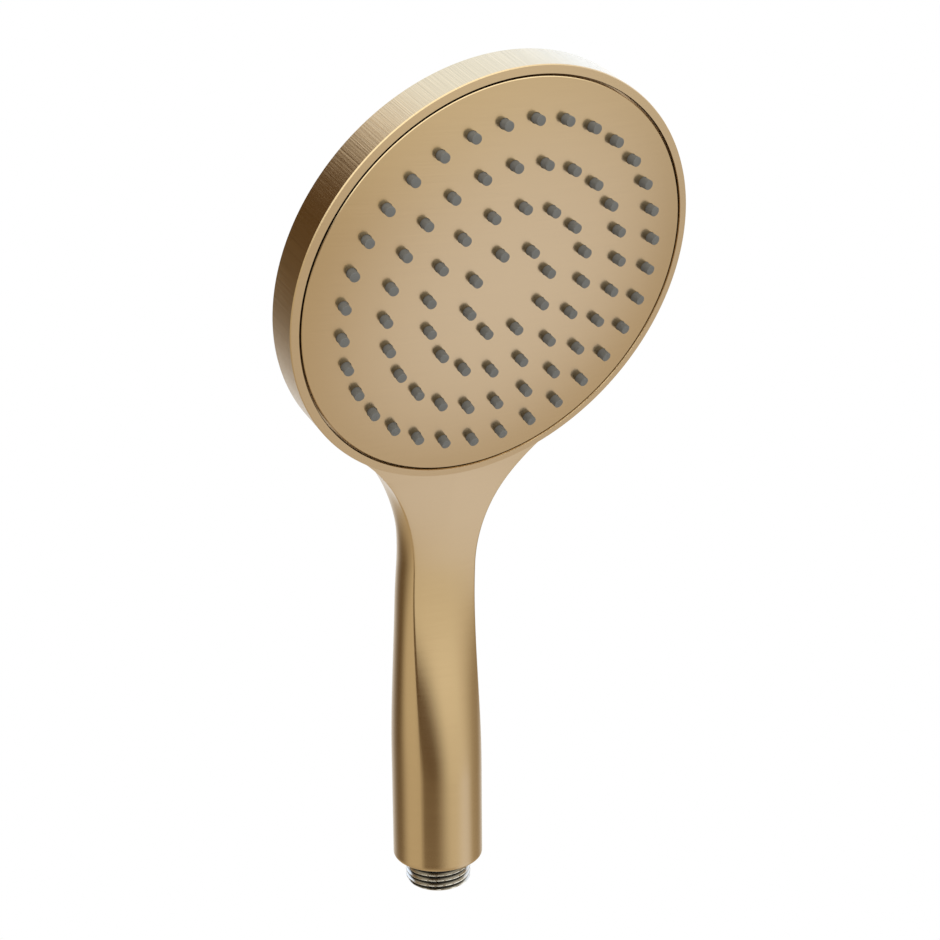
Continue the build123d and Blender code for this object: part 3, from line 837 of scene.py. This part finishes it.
class HANDSHOWER_OT_nozzle_mat(bpy.types.Operator):
    """Build the silicone mat with its rings of nozzles"""

    bl_idname = "hand_shower.nozzle_mat"
    bl_label = "Nozzle mat"

    def execute(self, context):
        spray = context.scene.hand_shower_spray
        handle = Handle(context.scene.hand_shower_body)
        outer = plate_radius_of(context.scene)
        finish = context.scene.hand_shower_finish
        material = grained("Grey silicone", finish.silicone, 0.10, 0.62, 0.08, 2600)
        below = spray.plate_thickness + spray.sheet_gap
        margin = spray.first_radius + spray.ring_pitch * (spray.ring_count - 1) + spray.mat_margin
        top, low = [], []
        for step in range(MAT_STEPS + 1):
            radius = margin * step / MAT_STEPS
            top.append((radius, dome_height(spray, outer, radius, below)))
            low.append((radius, dome_height(spray, outer, radius, below + spray.mat_thickness)))
        sheet = Skin()
        sheet.lathe(top + low[::-1], handle.head_matrix(), MAT_AROUND, across_face=True)
        carrier = sheet.make("nozzle_mat_sheet", material)
        nozzle = self.nozzle(spray, below, material)
        least = len(nozzle_spots(spray)) * len(nozzle.data.vertices)
        tree = self.tree(spray.ring_count)
        modifier = carrier.modifiers.new("nozzles", "NODES")
        modifier.node_group = tree
        values = {
            "Nozzle": nozzle,
            "First radius": spray.first_radius,
            "Ring pitch": spray.ring_pitch,
            "First count": spray.first_count,
            "Crown": spray.plate_crown,
            "Plate radius": outer,
            "Head turn": Vector(handle.head_matrix().to_euler()),
            "Head centre": handle.center,
            "Material": material,
        }
        for item in tree.interface.items_tree:
            if item.item_type == "SOCKET" and item.in_out == "INPUT" and item.name in values:
                modifier[item.identifier] = values[item.name]
        carrier.update_tag()
        graph = context.evaluated_depsgraph_get()
        mesh = bpy.data.meshes.new_from_object(carrier.evaluated_get(graph))
        carrier.modifiers.remove(modifier)
        mesh.name = "mat"
        piece = bpy.data.objects.new("mat", mesh)
        context.scene.collection.objects.link(piece)
        for spare in (carrier, nozzle):
            bpy.data.objects.remove(spare)
        if len(mesh.vertices) < least:
            raise RuntimeError("the nozzles were not made")
        dress(piece, "nozzle_mat")
        return {"FINISHED"}

    def nozzle(self, spray, below, material):
        """One nozzle, standing on the plate's outer face."""
        radius, edge = spray.nozzle_diameter / 2, spray.nozzle_edge
        profile = [(0, spray.nozzle_rise)]
        profile += corner_arc((radius - edge, spray.nozzle_rise - edge), edge, 90, 0, 3)
        profile += [(radius, -below - spray.mat_thickness / 2)]
        skin = Skin()
        skin.lathe(profile, Matrix.Identity(4), NOZZLE_SIDES, across_face=True)
        return skin.make("nozzle", material)

    def tree(self, ring_count):
        """Node tree that sets nozzles on rings over the dome and joins them to the sheet."""
        tree = bpy.data.node_groups.new("Nozzle rings", "GeometryNodeTree")
        for kind, names in (
            ("Geometry", ("Geometry",)),
            ("Object", ("Nozzle",)),
            ("Float", ("First radius", "Ring pitch", "Crown", "Plate radius")),
            ("Int", ("First count",)),
            ("Vector", ("Head turn", "Head centre")),
            ("Material", ("Material",)),
        ):
            for name in names:
                tree.interface.new_socket(name, in_out="INPUT", socket_type="NodeSocket" + kind)
        tree.interface.new_socket("Geometry", in_out="OUTPUT", socket_type="NodeSocketGeometry")
        given = add(tree, "NodeGroupInput").outputs
        plate_radius, crown = given["Plate radius"], given["Crown"]
        rings = add(tree, "GeometryNodeJoinGeometry")
        for ring in range(ring_count):
            count = calculate(tree, "MULTIPLY", given["First count"], ring + 1)
            radius = calculate(tree, "MULTIPLY_ADD", given["Ring pitch"], ring, given["First radius"])
            circle = add(tree, "GeometryNodeMeshCircle", Vertices=count, Radius=radius)
            half_step = calculate(tree, "DIVIDE", pi * ((ring + 1) % 2), count)
            turn = add(tree, "ShaderNodeCombineXYZ", Z=half_step).outputs[0]
            turned = add(tree, "GeometryNodeTransform", circle.outputs["Mesh"], Rotation=turn)
            feed(tree, rings, {0: turned.outputs["Geometry"]})
        position = add(tree, "GeometryNodeInputPosition").outputs[0]
        distance = add(tree, "ShaderNodeVectorMath", position, operation="LENGTH")
        share = calculate(tree, "DIVIDE", distance.outputs["Value"], plate_radius)
        squared = calculate(tree, "MULTIPLY", share, share)
        left = calculate(tree, "SUBTRACT", 1.0, squared)
        height = calculate(tree, "MULTIPLY", left, crown)
        lift = add(tree, "ShaderNodeCombineXYZ", Z=height)
        # Outward direction of the dome: its slope is the distance times two crowns over the radius squared
        plate_squared = calculate(tree, "MULTIPLY", plate_radius, plate_radius)
        twice = calculate(tree, "MULTIPLY", crown, 2.0)
        slope = calculate(tree, "DIVIDE", twice, plate_squared)
        lean = add(tree, "ShaderNodeVectorMath", position, operation="SCALE", Scale=slope)
        outward = add(tree, "ShaderNodeVectorMath", lean.outputs[0], (0, 0, 1), operation="ADD")
        stand = add(tree, "FunctionNodeAlignRotationToVector", axis="Z", Vector=outward.outputs[0])
        stored = add(tree, "GeometryNodeStoreNamedAttribute", data_type="QUATERNION", domain="POINT")
        feed(tree, stored, {"Geometry": rings.outputs[0], "Name": "stand", "Value": stand.outputs[0]})
        raised = add(tree, "GeometryNodeSetPosition", stored.outputs["Geometry"], Offset=lift.outputs[0])
        shape = add(tree, "GeometryNodeObjectInfo", given["Nozzle"])
        kept = add(tree, "GeometryNodeInputNamedAttribute", "stand", data_type="QUATERNION")
        placed = add(tree, "GeometryNodeInstanceOnPoints", raised.outputs["Geometry"])
        feed(tree, placed, {"Instance": shape.outputs["Geometry"], "Rotation": kept.outputs[0]})
        to_head = add(tree, "GeometryNodeTransform", placed.outputs["Instances"])
        feed(tree, to_head, {"Rotation": given["Head turn"], "Translation": given["Head centre"]})
        joined = add(tree, "GeometryNodeJoinGeometry", given["Geometry"])
        feed(tree, joined, {0: to_head.outputs["Geometry"]})
        real = add(tree, "GeometryNodeRealizeInstances", joined.outputs[0])
        painted = add(tree, "GeometryNodeSetMaterial", real.outputs[0], Material=given["Material"])
        add(tree, "NodeGroupOutput", painted.outputs[0])
        return tree


class HANDSHOWER_OT_inlet(bpy.types.Operator):
    """Build the hose nipple with its pipe thread"""

    bl_idname = "hand_shower.inlet"
    bl_label = "Hose nipple"

    def execute(self, context):
        inlet = context.scene.hand_shower_inlet
        crest = inlet.thread_diameter / 2
        skin = Skin()
        rows = []
        for level in range(THREAD_LEVELS + 1):
            z = mix(-inlet.thread_length, 0, level / THREAD_LEVELS)
            row = []
            for step in range(THREAD_AROUND + 1):
                angle = 2 * pi * step / THREAD_AROUND
                depth = self.groove(inlet, z, angle)
                point = Vector(((crest - depth) * cos(angle), (crest - depth) * sin(angle), z))
                # The brush pair keeps the depth below the crest; the plating paints shade from it
                row.append((point, (depth / inlet.thread_depth, angle)))
            rows.append(row)
        skin.grid(rows)
        end = -inlet.thread_length
        low = crest - max(inlet.end_chamfer, inlet.thread_depth)
        root = crest - inlet.thread_depth
        bore, flange = inlet.bore_diameter / 2, inlet.flange_diameter / 2
        for profile in (
            ((low, end), (bore, end), (bore, HIDDEN_BORE)),
            ((root, 0), (flange, 0), (flange, inlet.flange_length)),
            ((flange, inlet.flange_length), (bore, HIDDEN_BORE)),
        ):
            skin.lathe(profile, Matrix.Identity(4), NIPPLE_AROUND)
        material = self.plating(context.scene.hand_shower_finish)
        dress(skin.make("nipple", material, radians(50)), "inlet_nipple")
        return {"FINISHED"}

    def plating(self, finish):
        """Bright plating with painted shade where the thread sinks: in its grooves, on the plain neck under
        the grip and on the end chamfer.
        """
        base = finish.plating
        material = grained("Bright plating", base, 0.12, 0.20, 0.06, 900, 1.0)
        tree = material.node_tree
        shader = next(node for node in tree.nodes if node.type == "BSDF_PRINCIPLED")
        depth = add(tree, "ShaderNodeUVMap", uv_map="brush").outputs["UV"]
        depth = add(tree, "ShaderNodeSeparateXYZ", depth).outputs["X"]
        groove = soft_step(tree, depth, 0.25, 0.95)
        unshaded_plating = shader.inputs["Base Color"].links[0].from_socket
        # Painted shade: the colour darkens towards the thread's roots, the plain neck under the grip and the
        # end chamfer
        painted_groove_shade = [value * 0.08 for value in base]
        feed(tree, shader, {"Base Color": blend(tree, groove, unshaded_plating, painted_groove_shade)})
        return material

    def groove(self, inlet, z, angle):
        """Depth below the crest at a height and an angle."""
        phase = (z / inlet.thread_pitch - angle / (2 * pi)) % 1.0
        rise = abs(2 * phase - 1)
        depth = inlet.thread_depth * min(max((rise - CREST_FLAT) / (1 - 2 * CREST_FLAT), 0), 1)
        to_end = (z + inlet.thread_length) / inlet.end_chamfer
        chamfer = max(inlet.end_chamfer, inlet.thread_depth) * max(1 - to_end, 0)
        relief = inlet.thread_depth * ease(z, -inlet.thread_relief - RELIEF_RUN, -inlet.thread_relief)
        return max(depth, chamfer, relief)


class HANDSHOWER_OT_inner_pieces(bpy.types.Operator):
    """Give the pieces inside their materials"""

    bl_idname = "hand_shower.inner_pieces"
    bl_label = "Pieces inside"

    def execute(self, context):
        finish = context.scene.hand_shower_finish
        plastic = grained("White moulded plastic", finish.plastic, 0.04, 0.48, 0.08, 1500)
        rubber = grained("Black seal rubber", finish.rubber, 0.20, 0.70, 0.08, 2200)
        steel = grained("Screw steel", finish.steel, 0.10, 0.34, 0.10, 1200, 1.0)
        for material, names in (
            (plastic, ("chamber_cover", "waterway_tube", "regulator_cup", "inlet_filter")),
            (rubber, ("spout_seal", "inlet_seal", "regulator_ring")),
            (steel, ("cover_screws",)),
        ):
            for name in names:
                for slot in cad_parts[name].material_slots:
                    slot.material = material
        return {"FINISHED"}


class HANDSHOWER_OT_stage(bpy.types.Operator):
    """Set the floor, the studio light and the camera"""

    bl_idname = "hand_shower.stage"
    bl_label = "Stage"

    def execute(self, context):
        self.floor()
        self.studio(context)
        self.lamps(context)
        self.camera(context)
        context.scene.view_settings.view_transform = "Standard"
        return {"FINISHED"}

    def floor(self):
        """Round pale floor below the part."""
        skin = Skin()
        matrix = Matrix.Translation((0, 0, -0.36))
        skin.lathe([(0, 0), (0.5, 0), (1.05, 0)], matrix, 96, across_face=True)
        material = bpy.data.materials.new("Pale floor")
        tree = bare_tree(material)
        place = add(tree, "ShaderNodeTexCoord").outputs["Object"]
        cloud = noise(tree, place, 3.0, 2.0, 0.5)
        tone = blend(tree, cloud, (0.86, 0.86, 0.85), (0.90, 0.90, 0.90))
        plain = add(tree, "ShaderNodeBsdfDiffuse", Color=tone)
        bright = add(tree, "ShaderNodeEmission", Strength=1.0)
        seen = add(tree, "ShaderNodeLightPath").outputs
        either = calculate(tree, "MAXIMUM", seen["Is Camera Ray"], seen["Is Glossy Ray"])
        also = calculate(tree, "MAXIMUM", either, seen["Is Transmission Ray"])
        shown = add(tree, "ShaderNodeMixShader", also, plain.outputs[0], bright.outputs[0])
        add(tree, "ShaderNodeOutputMaterial", Surface=shown.outputs[0])
        floor = skin.make("floor", material)
        # Brushed metal mirrors the studio's cards in place of the floor
        floor.visible_glossy = False

    def studio(self, context):
        """Soft studio: a white wall, a softbox over the camera, and lights and dark cards at the sides."""
        tones = context.scene.hand_shower_studio
        world = bpy.data.worlds.new("Studio")
        context.scene.world = world
        tree = bare_tree(world)
        way = add(tree, "ShaderNodeTexCoord").outputs["Generated"]
        height = add(tree, "ShaderNodeSeparateXYZ", way).outputs["Z"]
        turn = self.turn(tree, way)
        beside = self.row(tree, turn, (
            (-180, -170, tones.backdrop),
            (-113, -108, tones.dim_card),
            (-73, -43, tones.left_light),
            (-30, -5, tones.dark_card),
            (40, 62, tones.right_light),
            (123, 128, tones.wing),
            (175, 180, tones.backdrop),
        ))
        above = self.row(tree, turn, (
            (-180, -165, tones.backdrop),
            (-122, -85, tones.dark_card),
            (-35, 90, tones.softbox),
            (150, 180, tones.backdrop),
        ))
        walls = blend(tree, soft_step(tree, height, -0.10, 0.24), beside, above)
        behind = self.toward(tree, way, (0.37, 0.67, 0.64))
        edge = blend(tree, soft_step(tree, behind, 0.57, 0.78), walls, tones.fringe)
        high = blend(tree, soft_step(tree, behind, 0.67, 0.90), edge, tones.glow)
        room = blend(tree, soft_step(tree, height, -0.64, -0.42), tones.ground, high)
        lower_right = self.toward(tree, way, (0.55, -0.52, -0.66))
        near = soft_step(tree, lower_right, 0.91, 1.0)
        all_round = blend(tree, near, room, tones.pool)
        seen = add(tree, "ShaderNodeLightPath").outputs["Is Camera Ray"]
        shown = blend(tree, seen, all_round, tones.backdrop)
        back = add(tree, "ShaderNodeBackground", Color=shown, Strength=1.0)
        add(tree, "ShaderNodeOutputWorld", Surface=back.outputs[0])

    def toward(self, tree, way, aim):
        """How near a direction comes to an aim: 1 at the aim, 0 square to it."""
        aim = Vector(aim).normalized()
        return add(tree, "ShaderNodeVectorMath", way, aim, operation="DOT_PRODUCT").outputs["Value"]

    def turn(self, tree, way):
        """Turn of a direction about the part: 0.5 in front, more to the right, less to the left."""
        to_right = self.toward(tree, way, CAMERA_RIGHT * Vector((1, 1, 0)))
        to_front = self.toward(tree, way, CAMERA_VIEW * Vector((-1, -1, 0)))
        angle = calculate(tree, "ARCTAN2", to_right, to_front)
        return ramp(tree, angle, From_Min=-pi, From_Max=pi)

    def row(self, tree, turn, cards):
        """Cards around the part, each between two turns in degrees, with soft passages between them."""
        node = add(tree, "ShaderNodeValToRGB", turn)
        node.color_ramp.interpolation = "EASE"
        stops = [(degrees, tone) for start, end, tone in cards for degrees in (start, end)]
        elements = node.color_ramp.elements
        while len(elements) < len(stops):
            elements.new(0.5)
        for element, (degrees, tone) in zip(elements, stops):
            element.position = degrees / 360 + 0.5
            element.color = (*tone, 1)
        return node.outputs["Color"]

    def lamps(self, context):
        """Two weak softboxes that shape the soft shadows."""
        aim = Vector((0, -0.02, 0.15))
        for name, place, size, power in (
            ("Key softbox", Vector((0.55, -0.80, 0.10)), 0.6, 1.0),
            ("Fill softbox", Vector((-0.70, -0.35, 0.75)), 0.8, 3.0),
        ):
            softbox = bpy.data.lights.new(name, "AREA")
            softbox.shape = "SQUARE"
            softbox.size = size
            softbox.energy = power
            lamp = bpy.data.objects.new(name, softbox)
            lamp.location = place
            lamp.rotation_euler = (aim - place).to_track_quat("-Z", "Y").to_euler()
            lamp.visible_glossy = False
            context.scene.collection.objects.link(lamp)

    def camera(self, context):
        """Camera in front of the part, to its left and a little above it."""
        lens = bpy.data.cameras.new("Camera")
        lens.sensor_width = 36.0
        lens.lens = CAMERA_LENS
        lens.clip_start = 0.01
        camera = bpy.data.objects.new("Camera", lens)
        up = CAMERA_RIGHT.cross(CAMERA_VIEW)
        turn = Matrix((CAMERA_RIGHT, up, -CAMERA_VIEW)).transposed().to_4x4()
        turn.translation = CAMERA_PLACE
        camera.matrix_world = turn
        context.scene.collection.objects.link(camera)
        context.scene.camera = camera


class HANDSHOWER_PT_panel(bpy.types.Panel):
    """Lists the pieces and their sizes"""

    bl_idname = "HANDSHOWER_PT_panel"
    bl_label = "Hand Shower"
    bl_space_type = "VIEW_3D"
    bl_region_type = "UI"
    bl_category = "Hand Shower"

    def draw(self, context):
        layout = self.layout
        for operator in OPERATORS:
            layout.operator(operator.bl_idname)
        for group in GROUPS:
            box = layout.box()
            settings = getattr(context.scene, group)
            for name in settings.bl_rna.properties.keys():
                if name not in ("name", "rna_type"):
                    box.prop(settings, name)


GROUPS = {
    "hand_shower_body": HandShowerBody,
    "hand_shower_spray": HandShowerSpray,
    "hand_shower_inlet": HandShowerInlet,
    "hand_shower_finish": HandShowerFinish,
    "hand_shower_studio": HandShowerStudio,
}
OPERATORS = (
    HANDSHOWER_OT_body,
    HANDSHOWER_OT_spray_plate,
    HANDSHOWER_OT_nozzle_mat,
    HANDSHOWER_OT_inlet,
    HANDSHOWER_OT_inner_pieces,
    HANDSHOWER_OT_stage,
)


def register():
    for group, kind in GROUPS.items():
        bpy.utils.register_class(kind)
        setattr(bpy.types.Scene, group, PointerProperty(type=kind))
    for kind in (*OPERATORS, HANDSHOWER_PT_panel):
        bpy.utils.register_class(kind)


def unregister():
    for kind in (HANDSHOWER_PT_panel, *reversed(OPERATORS)):
        bpy.utils.unregister_class(kind)
    for group, kind in reversed(GROUPS.items()):
        delattr(bpy.types.Scene, group)
        bpy.utils.unregister_class(kind)


def main():
    register()
    bpy.ops.hand_shower.body()
    bpy.ops.hand_shower.spray_plate()
    bpy.ops.hand_shower.nozzle_mat()
    bpy.ops.hand_shower.inlet()
    bpy.ops.hand_shower.inner_pieces()
    bpy.ops.hand_shower.stage()


if __name__ == "__main__":
    main()
